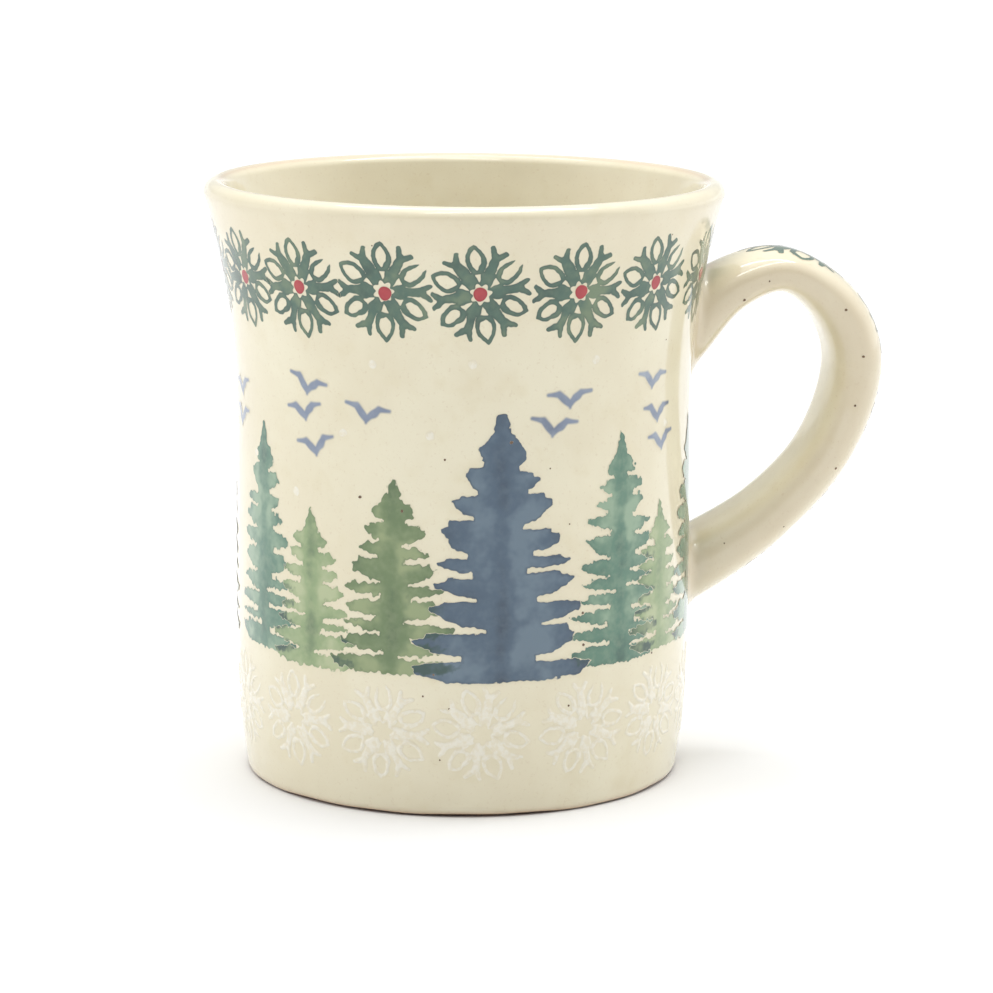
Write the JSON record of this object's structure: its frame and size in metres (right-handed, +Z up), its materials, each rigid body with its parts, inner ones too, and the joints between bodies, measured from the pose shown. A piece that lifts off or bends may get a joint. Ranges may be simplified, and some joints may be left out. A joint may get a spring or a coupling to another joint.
{
  "type": "stoneware mug",
  "caption": "Straight-sided glazed stoneware mug with a flared lip, a bare foot ring and a looped strap handle.",
  "frame": {"origin": "on the resting plane, at the middle of the mug's bounding box, so that the cup's axis is 13.55 mm towards -X", "axes": "+Z up out of the cup's mouth, +X from the cup's axis towards the handle"},
  "size_m": [0.1104, 0.0834, 0.096],
  "materials": {
    "bare_stoneware": "unglazed, matt",
    "joint_slip": "unglazed, matt",
    "cream_glaze": "glossy transparent glaze over a cream slip"
  },
  "bodies": {
    "root": {"cup_body": "bare_stoneware", "handle": "bare_stoneware", "upper_joint_slip": "joint_slip", "lower_joint_slip": "joint_slip", "cup_glaze": "cream_glaze", "handle_glaze": "cream_glaze", "base_glaze": "cream_glaze"}
  },
  "joints": []
}
